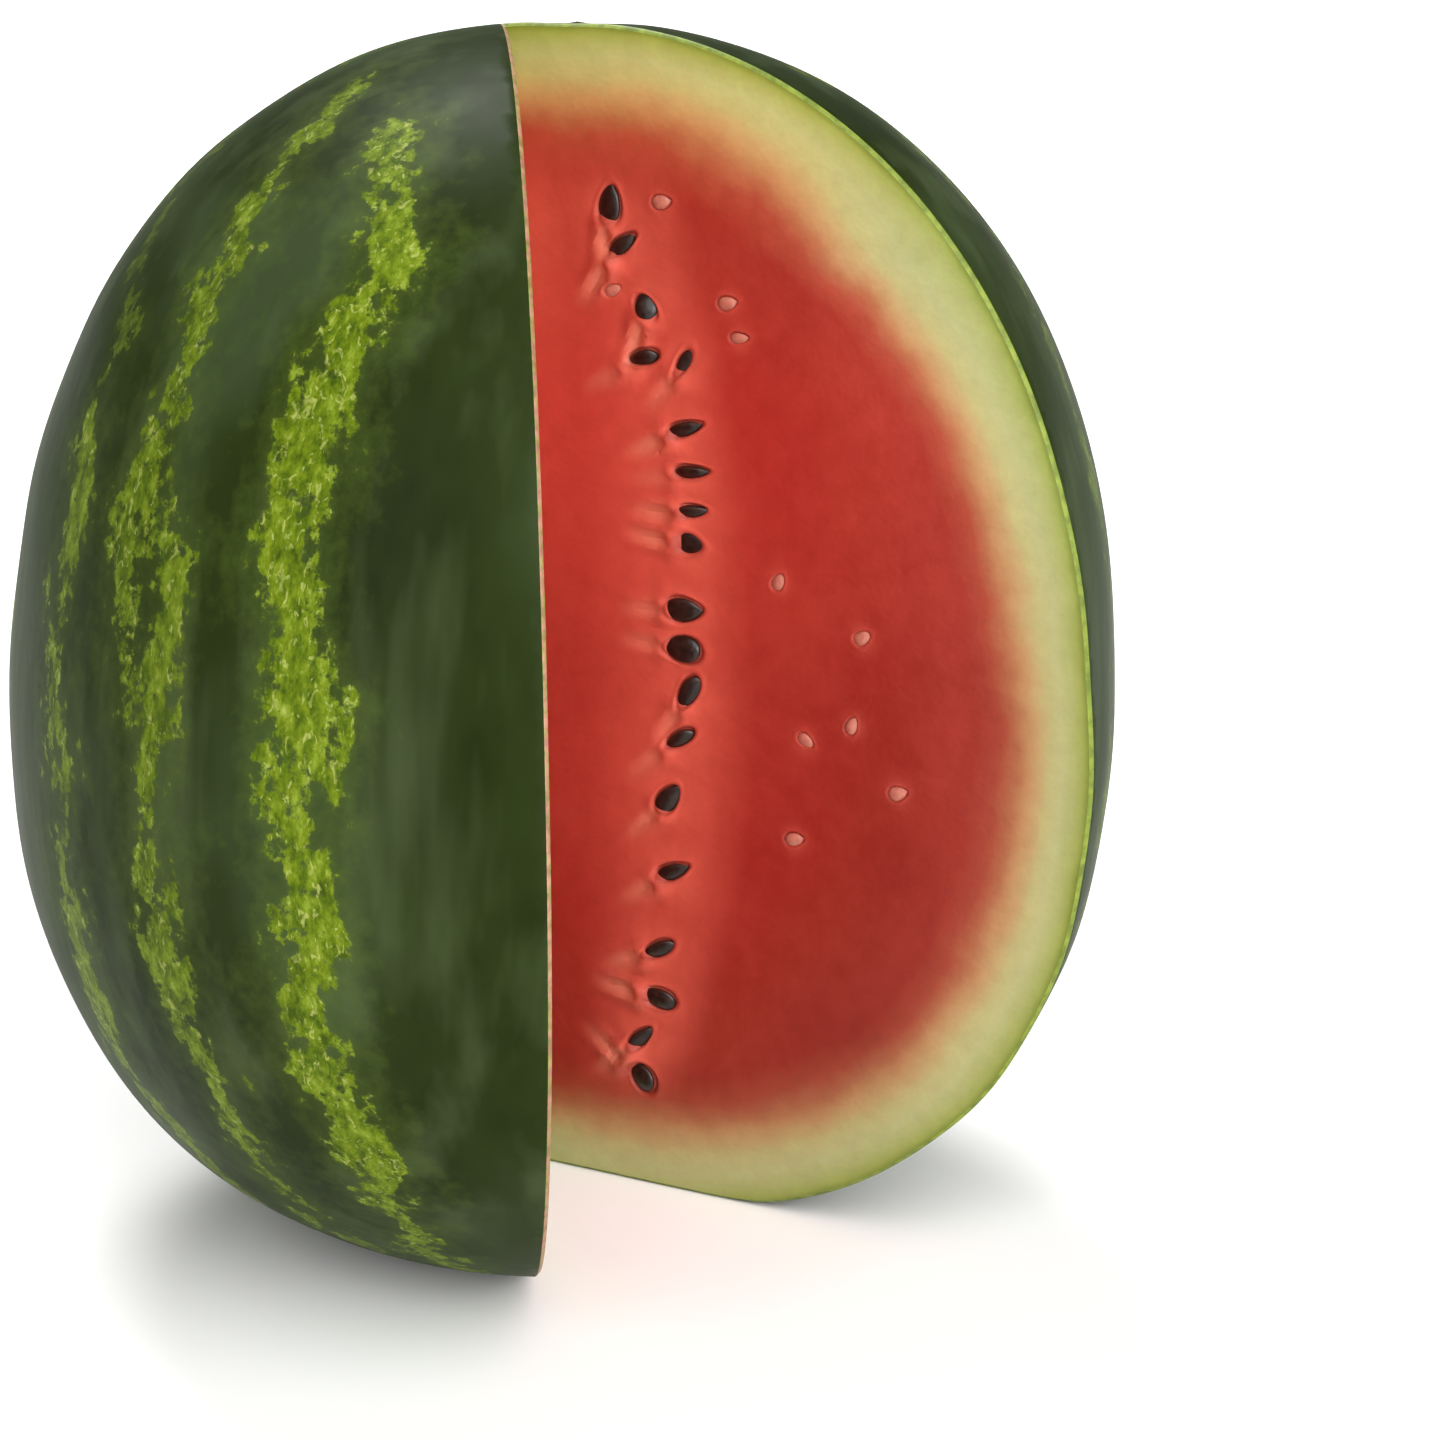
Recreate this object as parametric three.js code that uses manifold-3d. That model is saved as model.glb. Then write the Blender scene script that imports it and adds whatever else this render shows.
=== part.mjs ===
/**
 * A ripe watermelon that stands on end, with one lengthwise wedge cut away.
 *
 * Skin, rind and flesh grew as one piece, so they are one mesh. The seeds that show in the
 * two cut faces are pieces of their own, each in a pocket in the flesh.
 *
 * Lengths are in millimetres and angles in degrees. +Z is up, -Y is the front and +X is the
 * right. The origin is on the surface that the melon stands on, straight below its middle.
 */
import * as THREE from 'three';
import { mergeVertices } from 'three/addons/utils/BufferGeometryUtils.js';
import Module from 'manifold-3d';

const wasm = await Module();
wasm.setup();
const { degToRad } = THREE.MathUtils;

// The whole fruit, as it grew
const girth = 260; // across the widest part
const length = 295; // from the stem end to the blossom end
const squareness = 2.24; // 2 is a plain ellipsoid, and more gives fuller shoulders
const lowerFullness = 0.043; // how much of its width the lower half gains, and the upper loses
const leanBack = 12; // how far its upper end leans from upright, away from the front
const leanRight = 1.8;
const flatSpotDepth = 6; // how much of its lowest point is pressed flat where it rests

// Two knife cuts go straight down and meet in one upright edge inside the flesh
const edgeLeft = 14; // from the middle of the melon to that edge
const edgeBack = 30;
const frontCutHeading = -29; // where the front cut face runs from the edge, from +X round to +Y
const sideCutHeading = -85;

// Seeds
const ripeSeed = { length: 10.2, width: 6.4, thickness: 3, around: 9, rings: 6 };
const unripeSeed = { length: 5, width: 3.4, thickness: 1.8, around: 8, rings: 5 };
const seedTaper = 0.22; // how much slimmer the pointed end is than the middle
const pocketGap = 0.35; // between a seed and its pocket in the flesh

// How finely the melon's skin is divided
const skinColumns = 56;
const skinRows = 28;

const colours = { skin: '#3b471b', ripe: '#1d140c', unripe: '#e3c9a2' };

/** Where the melon's own axis, +Z, points as it stands. */
const lean = new THREE.Matrix4()
  .makeRotationY(degToRad(leanRight))
  .multiply(new THREE.Matrix4().makeRotationX(degToRad(-leanBack)));
const upright = lean.clone().invert();

/** How wide the melon is at a height along its axis, from -1 to 1, as a share of its girth. */
const fullness = (height) => 1 - lowerFullness * height;

/** The uncut melon, leaning, with its middle at the origin: a boxy ellipsoid turned on a lathe. */
function wholeMelon() {
  const power = 2 / squareness;
  const profile = [];
  for (let row = 0; row <= skinRows; row += 1) {
    const angle = Math.PI * (row / skinRows - 0.5);
    const height = Math.sign(angle) * Math.abs(Math.sin(angle)) ** power;
    const spread = Math.abs(Math.cos(angle)) ** power * fullness(height);
    profile.push(new THREE.Vector2((spread * girth) / 2, (height * length) / 2));
  }
  const skin = new THREE.LatheGeometry(profile, skinColumns);
  skin.rotateX(Math.PI / 2);
  skin.applyMatrix4(lean);
  return skin;
}

/** Whether a point, measured from the middle of the leaning melon, is inside its skin. */
function insideMelon(point) {
  const { x, y, z } = point.clone().applyMatrix4(upright);
  const height = z / (length / 2);
  const spread = Math.hypot(x, y) / ((girth / 2) * fullness(height));
  return Math.abs(height) ** squareness + spread ** squareness < 1;
}

/** A closed geometry as a solid that can be cut and joined. */
function solidOf(geometry) {
  const bare = geometry.clone();
  bare.deleteAttribute('normal');
  bare.deleteAttribute('uv');
  const merged = mergeVertices(bare);
  return new wasm.Manifold(
    new wasm.Mesh({
      numProp: 3,
      vertProperties: new Float32Array(merged.attributes.position.array),
      triVerts: new Uint32Array(merged.index.array),
    }),
  );
}

/** A solid as a geometry again. */
function geometryOf(solid) {
  const { vertProperties, triVerts } = solid.getMesh();
  const geometry = new THREE.BufferGeometry();
  geometry.setAttribute('position', new THREE.BufferAttribute(vertProperties, 3));
  geometry.setIndex(new THREE.BufferAttribute(triVerts, 1));
  geometry.computeVertexNormals();
  return geometry;
}

const skin = wholeMelon();
skin.computeBoundingBox();
const middleHeight = -skin.boundingBox.min.z - flatSpotDepth;
skin.translate(0, 0, middleHeight);

/** The wedge between the two cuts, long enough to pass right through the melon. */
function wedge() {
  const reach = 2 * Math.max(girth, length);
  const end = (heading) => [Math.cos(degToRad(heading)) * reach, Math.sin(degToRad(heading)) * reach];
  const outline = new THREE.Shape();
  outline.moveTo(0, 0);
  outline.lineTo(...end(sideCutHeading));
  outline.lineTo(...end(frontCutHeading));
  outline.closePath();
  const shape = new THREE.ExtrudeGeometry(outline, { depth: 2 * reach, bevelEnabled: false });
  shape.translate(-edgeLeft, edgeBack, -reach);
  return shape;
}

/** All that lies below the surface that the melon stands on. */
function underground() {
  const size = 2 * Math.max(girth, length);
  return new THREE.BoxGeometry(size, size, size).translate(0, 0, -size / 2);
}

/**
 * A cut face as a group: x runs level along the face from the inner edge, y runs up from the
 * height of the melon's middle and z points out of the flesh. The side face is seen from its
 * other side, so its flesh lies along -x.
 */
function cutFace(heading, side) {
  const face = new THREE.Group();
  const turn = side > 0 ? heading : heading + 180;
  face.position.set(-edgeLeft, edgeBack, middleHeight);
  face.rotation.set(Math.PI / 2, 0, degToRad(turn), 'ZYX');
  face.userData = { heading: degToRad(heading), side };
  return face;
}

/** How far the skin is from the inner edge along a cut face, at a height above the middle. */
function reachOfFace({ heading }, height) {
  let near = 0;
  let far = girth + length;
  for (let step = 0; step < 30; step += 1) {
    const half = (near + far) / 2;
    const x = Math.cos(heading) * half - edgeLeft;
    const y = Math.sin(heading) * half + edgeBack;
    if (insideMelon(new THREE.Vector3(x, y, height))) near = half;
    else far = half;
  }
  return near;
}

/** A flat ovate seed along x, slimmer towards +x. The gap makes it larger all round. */
function seedShape(seed, gap) {
  const shape = new THREE.SphereGeometry(1, seed.around, seed.rings).rotateZ(-Math.PI / 2);
  const places = shape.attributes.position;
  for (let i = 0; i < places.count; i += 1) {
    const along = places.getX(i);
    const slimming = 1 - seedTaper * along;
    const x = along * (seed.length / 2 + gap);
    const y = places.getY(i) * ((seed.width / 2) * slimming + gap);
    const z = places.getZ(i) * ((seed.thickness / 2) * slimming + gap);
    places.setXYZ(i, x, y, z);
  }
  shape.computeVertexNormals();
  return shape;
}

/**
 * Puts one seed on a cut face. up is its height as a share of half the melon's length, out its
 * place from the inner edge to the skin as a share, turn its direction in the face, roll and
 * dive its tilt about its length and its width, and sink how deep its middle is.
 */
function addSeed(face, name, seed, colour, [up, out, turn, roll, dive, sink]) {
  const { side } = face.userData;
  const height = (up * length) / 2;
  const material = new THREE.MeshStandardMaterial({ color: colour, roughness: 0.3, metalness: 0 });
  const mesh = new THREE.Mesh(seedShape(seed, 0), material);
  mesh.name = name;
  mesh.position.set(side * out * reachOfFace(face.userData, height), height, -sink);
  mesh.rotation.set(degToRad(roll), degToRad(dive), degToRad(turn), 'ZYX');
  mesh.userData = { pocket: seedShape(seed, pocketGap) };
  face.add(mesh);
}

/** Adds a numbered seed for each row of a list. */
function addSeeds(face, name, seed, colour, rows) {
  rows.forEach((row, i) => {
    addSeed(face, `${name}_${String(i + 1).padStart(2, '0')}`, seed, colour, row);
  });
}

// The front face's ripe seeds, from the top down: up, out, turn, roll, dive, sink
const frontRipe = [
  [0.7, 0.235, 84, -12, 0, 0.8],
  [0.63, 0.25, 52, 38, -16, 1.5],
  [0.55, 0.29, 72, 14, 36, 1.6],
  [0.45, 0.26, 30, 44, -16, 1.6],
  [0.455, 0.35, 48, 34, 14, 1.9],
  [0.345, 0.33, 27, 48, -10, 1.3],
  [0.275, 0.335, 12, 54, -8, 1.7],
  [0.21, 0.335, 5, 56, 8, 1.9],
  [0.155, 0.325, -4, 8, 0, 1.35],
  [0.045, 0.31, 6, 12, 0, 0.5],
  [-0.02, 0.305, -1, -8, 0, 0.3],
  [-0.095, 0.32, 56, 30, 6, 1.1],
  [-0.18, 0.3, 38, 50, -6, 1.6],
  [-0.28, 0.29, 45, 26, 10, 1],
  [-0.41, 0.3, 33, 36, -8, 1.2],
  [-0.55, 0.29, 22, 40, 10, 1.3],
  [-0.635, 0.3, -8, 20, 0, 0.9],
  [-0.71, 0.29, 40, 46, 8, 1.5],
  [-0.775, 0.3, -35, 14, -12, 0.9],
];

// Its pale seeds, which never ripened, lie further out
const frontUnripe = [
  [0.715, 0.36, 12, 0, 0, 0.2],
  [0.565, 0.45, 18, 10, 0, 0.3],
  [0.51, 0.46, 8, 30, 0, 0.5],
  [0.56, 0.22, 28, 20, 0, 0.6],
  [0.12, 0.48, 62, 10, 0, 0.6],
  [0.05, 0.62, 35, 0, 0, 0.5],
  [-0.1, 0.6, 70, 20, 0, 0.5],
  [-0.14, 0.52, -30, 10, 0, 0.6],
  [-0.2, 0.68, 20, 0, 0, 0.3],
  [-0.31, 0.51, 15, 10, 0, 0.3],
];

/** The side face's seeds wander about one line, as they do on the front face. */
function sideRows(count, lowest, spacing, out, depth) {
  return Array.from({ length: count }, (_, i) => {
    const sway = Math.sin(i * 2.4);
    const swing = Math.cos(i * 1.7);
    const up = lowest + i * spacing;
    return [up, out + 0.025 * sway, 30 + 45 * swing, 25 + 25 * sway, 10 * swing, depth];
  });
}

const watermelon = new THREE.Group();
const frontFace = cutFace(frontCutHeading, 1);
const sideFace = cutFace(sideCutHeading, -1);
addSeeds(frontFace, 'ripe_seed_front', ripeSeed, colours.ripe, frontRipe);
addSeeds(frontFace, 'unripe_seed_front', unripeSeed, colours.unripe, frontUnripe);
addSeeds(sideFace, 'ripe_seed_side', ripeSeed, colours.ripe, sideRows(17, -0.76, 0.093, 0.3, 1.2));
addSeeds(sideFace, 'unripe_seed_side', unripeSeed, colours.unripe, sideRows(7, -0.6, 0.19, 0.52, 0.4));
watermelon.add(frontFace, sideFace);
watermelon.updateMatrixWorld(true);

/** The melon without its wedge, with its flat spot and a pocket for each seed. */
function cutMelon(seeds) {
  let body = solidOf(skin).subtract(solidOf(wedge())).subtract(solidOf(underground()));
  for (const seed of seeds) {
    const pocket = seed.userData.pocket.applyMatrix4(seed.matrixWorld);
    body = body.subtract(solidOf(pocket));
  }
  const material = new THREE.MeshStandardMaterial({ color: colours.skin, roughness: 0.4, metalness: 0 });
  const melon = new THREE.Mesh(geometryOf(body), material);
  melon.name = 'melon';
  return melon;
}

watermelon.add(cutMelon([...frontFace.children, ...sideFace.children]));

export default watermelon;
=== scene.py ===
# %% [markdown]
# # A ripe watermelon with one wedge cut away
#
# This lesson builds the looks of a watermelon that stands on end, around a plain CAD model that
# already has the right shape, size and place. The fruit is one piece: a thin waxy skin, a pale rind
# and red flesh. Two straight knife cuts took out one lengthwise wedge, so the inside shows. The seeds
# that the knife bared lie in the cut faces.
#
# Everything is in metres, +Z is up and the front of the melon is towards -Y.

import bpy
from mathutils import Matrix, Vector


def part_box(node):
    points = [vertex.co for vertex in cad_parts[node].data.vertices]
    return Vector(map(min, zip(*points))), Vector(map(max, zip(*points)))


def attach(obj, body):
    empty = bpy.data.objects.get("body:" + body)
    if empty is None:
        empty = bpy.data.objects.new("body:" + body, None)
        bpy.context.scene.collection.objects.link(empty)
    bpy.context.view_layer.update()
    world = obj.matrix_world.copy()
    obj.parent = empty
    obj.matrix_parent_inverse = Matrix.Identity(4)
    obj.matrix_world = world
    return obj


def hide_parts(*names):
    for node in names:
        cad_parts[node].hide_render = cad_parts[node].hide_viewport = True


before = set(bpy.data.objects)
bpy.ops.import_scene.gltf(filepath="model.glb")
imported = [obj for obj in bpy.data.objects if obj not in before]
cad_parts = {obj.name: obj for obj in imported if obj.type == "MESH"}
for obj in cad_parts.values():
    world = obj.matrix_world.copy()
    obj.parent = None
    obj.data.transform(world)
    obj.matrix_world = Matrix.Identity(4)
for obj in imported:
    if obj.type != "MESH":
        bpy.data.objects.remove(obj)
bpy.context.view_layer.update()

# %% Libraries and a function for new objects
import math

import bmesh
import bpy
import numpy as np
from mathutils import Euler, Vector, geometry

MM = 0.001


def new_object(name, data):
    """Puts a new object in the scene."""
    thing = bpy.data.objects.new(name, data)
    bpy.context.scene.collection.objects.link(thing)
    return thing


# %% [markdown]
# ## The melon's shape as a formula
#
# A melon is nearly an ellipsoid, but its shoulders are fuller. The same formula as in the CAD model
# gives that shape, so the fine mesh follows the plain one. The melon leans a little, and it has a
# flat spot where it rests. A formula is better than a sculpted mesh here, because the skin and the
# two cut faces can then share one edge exactly, however finely each is divided.

# %% Driving sizes, the same as the CAD model's
GIRTH = 260 * MM
LENGTH = 295 * MM
SQUARENESS = 2.24
LOWER_FULLNESS = 0.043
LEAN = Euler((math.radians(-12), math.radians(1.8), 0))
FLAT_SPOT_DEPTH = 6 * MM
EDGE_LEFT = 14 * MM
EDGE_BACK = 30 * MM
CUT_HEADINGS = {"front": math.radians(-29), "side": math.radians(-85)}

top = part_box("melon")[1][2]
MIDDLE = np.array([0, 0, (top - FLAT_SPOT_DEPTH) / 2])
OWN_AXES = np.array(LEAN.to_matrix())
print("middle of the melon is", round(MIDDLE[2] / MM, 1), "mm above the floor")

# %% [markdown]
# The skin isn't perfectly smooth. It swells and sinks by about a quarter of a millimetre over a few
# centimetres, and the blossom end has a shallow dimple with a small corky scar in it. These belong
# in the mesh and not in a bump texture, because they show in the outline and in the reflections.

# %% How far a point is outside the skin
SWELL = 0.22 * MM
SWELL_PITCH = 60 * MM
SCAR = {"dimple": 1.3 * MM, "dimple_radius": 9 * MM, "button": 1.1 * MM, "button_radius": 2.6 * MM}


def own_places(points):
    """Points in the melon's own frame: its middle is the origin and its axis is Z."""
    return (points - MIDDLE) @ OWN_AXES


def swelling(own):
    """How far the skin stands out from the smooth shape."""
    x, y, z = own.T * (2 * math.pi / SWELL_PITCH)
    waves = np.sin(1.1 * x + 0.7 * y + 0.4) + np.sin(0.9 * y - 1.2 * z + 1.9) + np.sin(1.3 * z + 0.8 * x)
    around = np.hypot(own[:, 0], own[:, 1])
    upper = own[:, 2] > 0
    dimple = SCAR["dimple"] * np.exp(-((around / SCAR["dimple_radius"]) ** 2))
    button = SCAR["button"] * np.exp(-((around / SCAR["button_radius"]) ** 4))
    return SWELL * waves / 2 + np.where(upper, button - dimple, 0)


def outside_skin(points):
    """Metres outside the skin, negative inside it."""
    own = own_places(points)
    height = own[:, 2] / (LENGTH / 2)
    spread = np.hypot(own[:, 0], own[:, 1]) / (GIRTH / 2 * (1 - LOWER_FULLNESS * height))
    share = (np.abs(height) ** SQUARENESS + spread**SQUARENESS) ** (1 / SQUARENESS)
    return np.linalg.norm(own, axis=1) * (1 - 1 / np.maximum(share, 1e-6)) - swelling(own)


# %% [markdown]
# The flat spot is where the skin meets the floor. A real one has a soft edge, so the skin and the
# floor are blended over about a millimetre.

# %% The whole outer surface, with its flat spot
FLAT_EDGE = 1.2 * MM
# each halving finds the surface twice as closely, down to far less than a micrometre
HALVINGS = 34


def outside_melon(points):
    """Metres outside the melon or under the floor, whichever is more, blended where they meet."""
    return FLAT_EDGE * np.logaddexp(outside_skin(points) / FLAT_EDGE, -points[:, 2] / FLAT_EDGE)


def reach(starts, directions):
    """How far each ray runs inside the melon before it leaves it."""
    near, far = np.zeros(len(directions)), np.full(len(directions), 2 * LENGTH)
    for _ in range(HALVINGS):
        half = (near + far) / 2
        inside = outside_melon(starts + half[:, None] * directions) < 0
        near, far = np.where(inside, half, near), np.where(inside, far, half)
    return near


# %% [markdown]
# ## The two cuts
#
# Both knife cuts go straight down and meet in one upright edge inside the flesh. Each cut face gets
# two directions: `out`, level along the face from that inner edge, and `normal`, out of the flesh.
# The rim is found by sending rays over the face in a fan from the middle of the inner edge.
#
# No real cut is a perfect corner. The rim is chamfered by a little under a millimetre, and this
# thin pale line is what tells the eye that the skin is cut and not painted. The skin therefore
# stops a little behind the cut plane, and the face stops a little inside the skin.

# %% Planes, rims and the chamfer between skin and face
UP = np.array([0.0, 0.0, 1.0])
EDGE = np.array([-EDGE_LEFT, EDGE_BACK, MIDDLE[2]])
CHAMFER = 0.9 * MM
CHAMFER_BULGE = 0.15 * CHAMFER
FAN = np.linspace(-math.pi / 2, math.pi / 2, 321)


def cut_face(heading, side):
    """The directions of a cut face. Its side, 1 or -1, says which way its flesh looks."""
    out = np.array([math.cos(heading), math.sin(heading), 0])
    return {"out": out, "normal": side * np.cross(out, UP)}


FACES = {"front": cut_face(CUT_HEADINGS["front"], 1), "side": cut_face(CUT_HEADINGS["side"], -1)}

# the inner edge, moved into the flesh so that both planes recede by the chamfer
normals = np.array([face["normal"][:2] for face in FACES.values()])
receded_edge = EDGE.copy()
receded_edge[:2] -= np.linalg.solve(normals, [CHAMFER, CHAMFER])


def fan_from(start, face, shrink=0.0):
    """The rim that a fan of rays in a face's plane meets, less a margin."""
    rays = np.cos(FAN)[:, None] * face["out"] + np.sin(FAN)[:, None] * UP
    return start + (reach(start, rays) - shrink)[:, None] * rays


for face in FACES.values():
    face["skin_rim"] = fan_from(receded_edge, face)
    face["face_rim"] = fan_from(EDGE, face, CHAMFER)
    between = (face["skin_rim"] + face["face_rim"]) / 2
    outwards = face["skin_rim"] - face["face_rim"] + face["normal"] * CHAMFER
    outwards /= np.linalg.norm(outwards, axis=1)[:, None]
    face["chamfer_rim"] = between + CHAMFER_BULGE * outwards
for name, face in FACES.items():
    rim_steps = np.linalg.norm(np.diff(face["face_rim"], axis=0), axis=1)
    print(name, "rim is", round(rim_steps.sum() / MM), "mm long")

# %% [markdown]
# ## The skin mesh
#
# The skin could be a sphere that a boolean cuts, but booleans leave long thin triangles at the cut.
# Instead, points are spread evenly in all directions and joined by a Delaunay triangulation whose
# border is the two rims. Triangulation works on a flat sheet, so the directions are laid flat first
# by a stereographic projection from the middle of the missing wedge. That projection keeps circles
# as circles, so triangles that are good on the sheet are good on the melon too.

# %% Spread directions evenly and triangulate them inside the rims
SKIN_POINTS = 30000
RIM_CLEARANCE = 1.3 * MM

wedge_middle = sum(face["out"] for face in FACES.values())
wedge_middle /= np.linalg.norm(wedge_middle)
sheet_axes = np.array([np.cross(UP, wedge_middle), UP])


def flatten(directions):
    """Directions from the middle of the melon, laid flat by the stereographic projection."""
    return directions @ sheet_axes.T / (1 - directions @ wedge_middle)[:, None]


def inside_ring(point, ring):
    """Whether a flat point is inside a closed ring, by how often a level ray crosses the ring."""
    start, end = ring, np.roll(ring, -1, axis=0)
    passes = (start[:, 1] > point[1]) != (end[:, 1] > point[1])
    rise = np.where(passes, end[:, 1] - start[:, 1], 1)
    cross_x = start[:, 0] + (point[1] - start[:, 1]) * (end[:, 0] - start[:, 0]) / rise
    return np.count_nonzero(passes & (cross_x > point[0])) % 2 == 1


def triangulate(border, inner):
    """Triangles over flat points inside a closed border."""
    flat = np.vstack([border, inner])
    ring = list(range(len(border)))
    points, _, faces, *_ = geometry.delaunay_2d_cdt(flat.tolist(), [], [ring], 1, 1e-9, False)
    assert len(points) == len(flat), "the triangulation moved or merged points"
    # it can add slivers beyond the border, and only border points can be their corners
    return [face for face in faces
            if max(face) >= len(border) or inside_ring(flat[list(face)].mean(axis=0), border)]


def inside_flesh(points, margin):
    """Whether points are at least a margin behind one of the two cut planes."""
    behind = [(points - EDGE) @ face["normal"] < -margin for face in FACES.values()]
    return behind[0] | behind[1]


# the golden angle turns each direction away from the last, so they never line up
count = np.arange(SKIN_POINTS) + 0.5
tilt = np.arccos(1 - 2 * count / SKIN_POINTS)
turn = math.pi * (1 + math.sqrt(5)) * count
directions = np.stack([np.cos(turn) * np.sin(tilt), np.sin(turn) * np.sin(tilt), np.cos(tilt)], axis=1)
skin_inner = MIDDLE + reach(MIDDLE, directions)[:, None] * directions
kept = inside_flesh(skin_inner, CHAMFER + RIM_CLEARANCE)
skin_inner, directions = skin_inner[kept], directions[kept]

# one closed loop: up the front rim, then down the side rim
skin_border = np.vstack([FACES["front"]["skin_rim"], FACES["side"]["skin_rim"][-2:0:-1]])
border_directions = skin_border - MIDDLE
border_directions /= np.linalg.norm(border_directions, axis=1)[:, None]
skin_faces = triangulate(flatten(border_directions), flatten(directions))
skin_points = np.vstack([skin_border, skin_inner])
print(len(skin_points), "skin points and", len(skin_faces), "triangles")

# %% [markdown]
# ## Reading the seeds from the frame
#
# Every seed that shows is a node of the CAD model, already in its place and at its own tilt. Its mesh
# says where its middle is and which way its length, width and thickness run: those are the
# directions in which its points spread most, less and least. The finer seed that replaces it takes
# the same axes, and the flesh around it uses them for its hollow.

# %% Measure each seed node
SEED_HALF = {
    "ripe": np.array([10.2, 6.4, 3.0]) * MM / 2,
    "unripe": np.array([5.0, 3.4, 1.8]) * MM / 2,
}


def measure_seed(name):
    """A seed node's kind, cut face, middle and axes."""
    points = np.array([tuple(v.co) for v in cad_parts[name].data.vertices])
    points = np.unique(points.round(7), axis=0)
    _, _, axes = np.linalg.svd(points - points.mean(axis=0), full_matrices=False)
    own = points @ axes.T
    middle = (own.min(axis=0) + own.max(axis=0)) / 2
    # the pointed end is the one where the seed is narrower, and it becomes +x
    width_near = [np.ptp(own[(own[:, 0] - middle[0]) * way > 0][:, 1]) for way in (1, -1)]
    if width_near[0] > width_near[1]:
        axes[0], middle[0] = -axes[0], -middle[0]
    # width follows, so that the three axes stay right-handed
    axes[1] = np.cross(axes[2], axes[0])
    middle[1] = (points @ axes[1]).min() / 2 + (points @ axes[1]).max() / 2
    kind, _, where, _ = name.split("_")
    return {"name": name, "kind": kind, "face": where, "middle": middle @ axes, "axes": axes}


seeds = [measure_seed(name) for name in sorted(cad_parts) if "_seed_" in name]
print(len(seeds), "seeds:", {k: sum(s["kind"] == k for s in seeds) for k in SEED_HALF})

# %% [markdown]
# ## The cut faces
#
# Wet flesh isn't flat after a knife has passed. It has faint waves where the blade moved, and it sinks
# a little round each seed, with a narrow groove where seed and flesh part. The face is triangulated
# over points 1.5 mm apart, and over a much denser patch at each seed, so those hollows are real
# geometry. The same distances are kept as attributes of the mesh, because the material needs them:
# how deep under the skin a point is, how far out along the face, and how near a seed.

# %% Points over a cut face, dense round its seeds
FACE_SPACING = 1.5 * MM
SEED_SPACING = 0.42 * MM
SEED_PATCH = {"ripe": (7.0 * MM, 4.9 * MM), "unripe": (4.0 * MM, 3.2 * MM)}
RIM_MARGIN = 0.9 * MM
EDGE_POINTS = 190


def honeycomb(low, high, spacing):
    """Points in a honeycomb over a flat rectangle."""
    rows = np.arange(low[1], high[1], spacing * math.sqrt(3) / 2)
    columns = np.arange(low[0], high[0], spacing)
    x, y = np.meshgrid(columns, rows)
    x = x + (np.arange(len(rows)) % 2)[:, None] * spacing / 2
    return np.stack([x.ravel(), y.ravel()], axis=1)


def on_face(points, face):
    """Flat places on a face: x runs out from the inner edge and y runs up."""
    return np.stack([(points - EDGE) @ face["out"], (points - EDGE) @ UP], axis=1)


def from_face(flat, face):
    """Places in the scene from flat places on a face."""
    return EDGE + flat[:, :1] * face["out"] + flat[:, 1:] * UP


def near_seed(flat, seed, face):
    """How far flat points are from a seed's middle, as a share of its dense patch."""
    along = np.array([seed["axes"][0] @ face["out"], seed["axes"][0] @ UP])
    along /= max(np.linalg.norm(along), 1e-6)
    away = flat - on_face(seed["middle"][None], face)
    reach_x, reach_y = SEED_PATCH[seed["kind"]]
    return np.hypot(away @ along / reach_x, away @ (-along[1], along[0]) / reach_y)


def face_inner_points(name, face):
    """Flat points inside a face's border: wide apart, with a dense patch at each seed."""
    rim = on_face(face["face_rim"], face)
    spread = honeycomb((RIM_MARGIN, rim[:, 1].min()), rim.max(axis=0), FACE_SPACING)
    own_seeds = [seed for seed in seeds if seed["face"] == name]
    for seed in own_seeds:
        spread = spread[near_seed(spread, seed, face) > 1]
    patches = [spread]
    for i, seed in enumerate(own_seeds):
        at = on_face(seed["middle"][None], face)[0]
        half = SEED_PATCH[seed["kind"]][0]
        patch = honeycomb(at - half, at + half, SEED_SPACING)
        patch = patch[near_seed(patch, seed, face) <= 1]
        for other in own_seeds[:i]:
            patch = patch[near_seed(patch, other, face) > 1]
        patches.append(patch)
    flat = np.vstack(patches)
    inside_skin = outside_melon(from_face(flat, face)) < -RIM_MARGIN - CHAMFER
    return flat[inside_skin & (flat[:, 0] > RIM_MARGIN)]


# %% Triangulate both faces, which share the points of the inner edge
edge_ends = [FACES["front"]["face_rim"][i][2] - EDGE[2] for i in (0, -1)]
edge_steps = np.linspace(*edge_ends, EDGE_POINTS)
for name, face in FACES.items():
    rim = on_face(face["face_rim"], face)
    edge_line = np.stack([np.zeros(EDGE_POINTS - 2), edge_steps[-2:0:-1]], axis=1)
    border = np.vstack([rim, edge_line])
    inner = face_inner_points(name, face)
    face["border_points"] = len(border)
    face["flat"] = np.vstack([border, inner])
    face["faces"] = triangulate(border, inner)
    print(name, "face:", len(face["flat"]), "points and", len(face["faces"]), "triangles")

# %% How a seed's middle, edge and underside lie from points on the face
SEED_TAPER = 0.22


def seed_share(points, seed):
    """0 at a seed's middle, 1 on its surface and more outside it."""
    x, y, z = ((points - seed["middle"]) @ seed["axes"].T / SEED_HALF[seed["kind"]]).T
    slimming = 1 - SEED_TAPER * np.clip(x, -1, 1)
    return np.sqrt(x**2 + (y / slimming) ** 2 + (z / slimming) ** 2)


def smooth_step(low, high, value):
    """0 up to low, 1 from high on, and a soft slope between them."""
    share = np.clip((value - low) / (high - low), 0, 1)
    return share * share * (3 - 2 * share)


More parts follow.
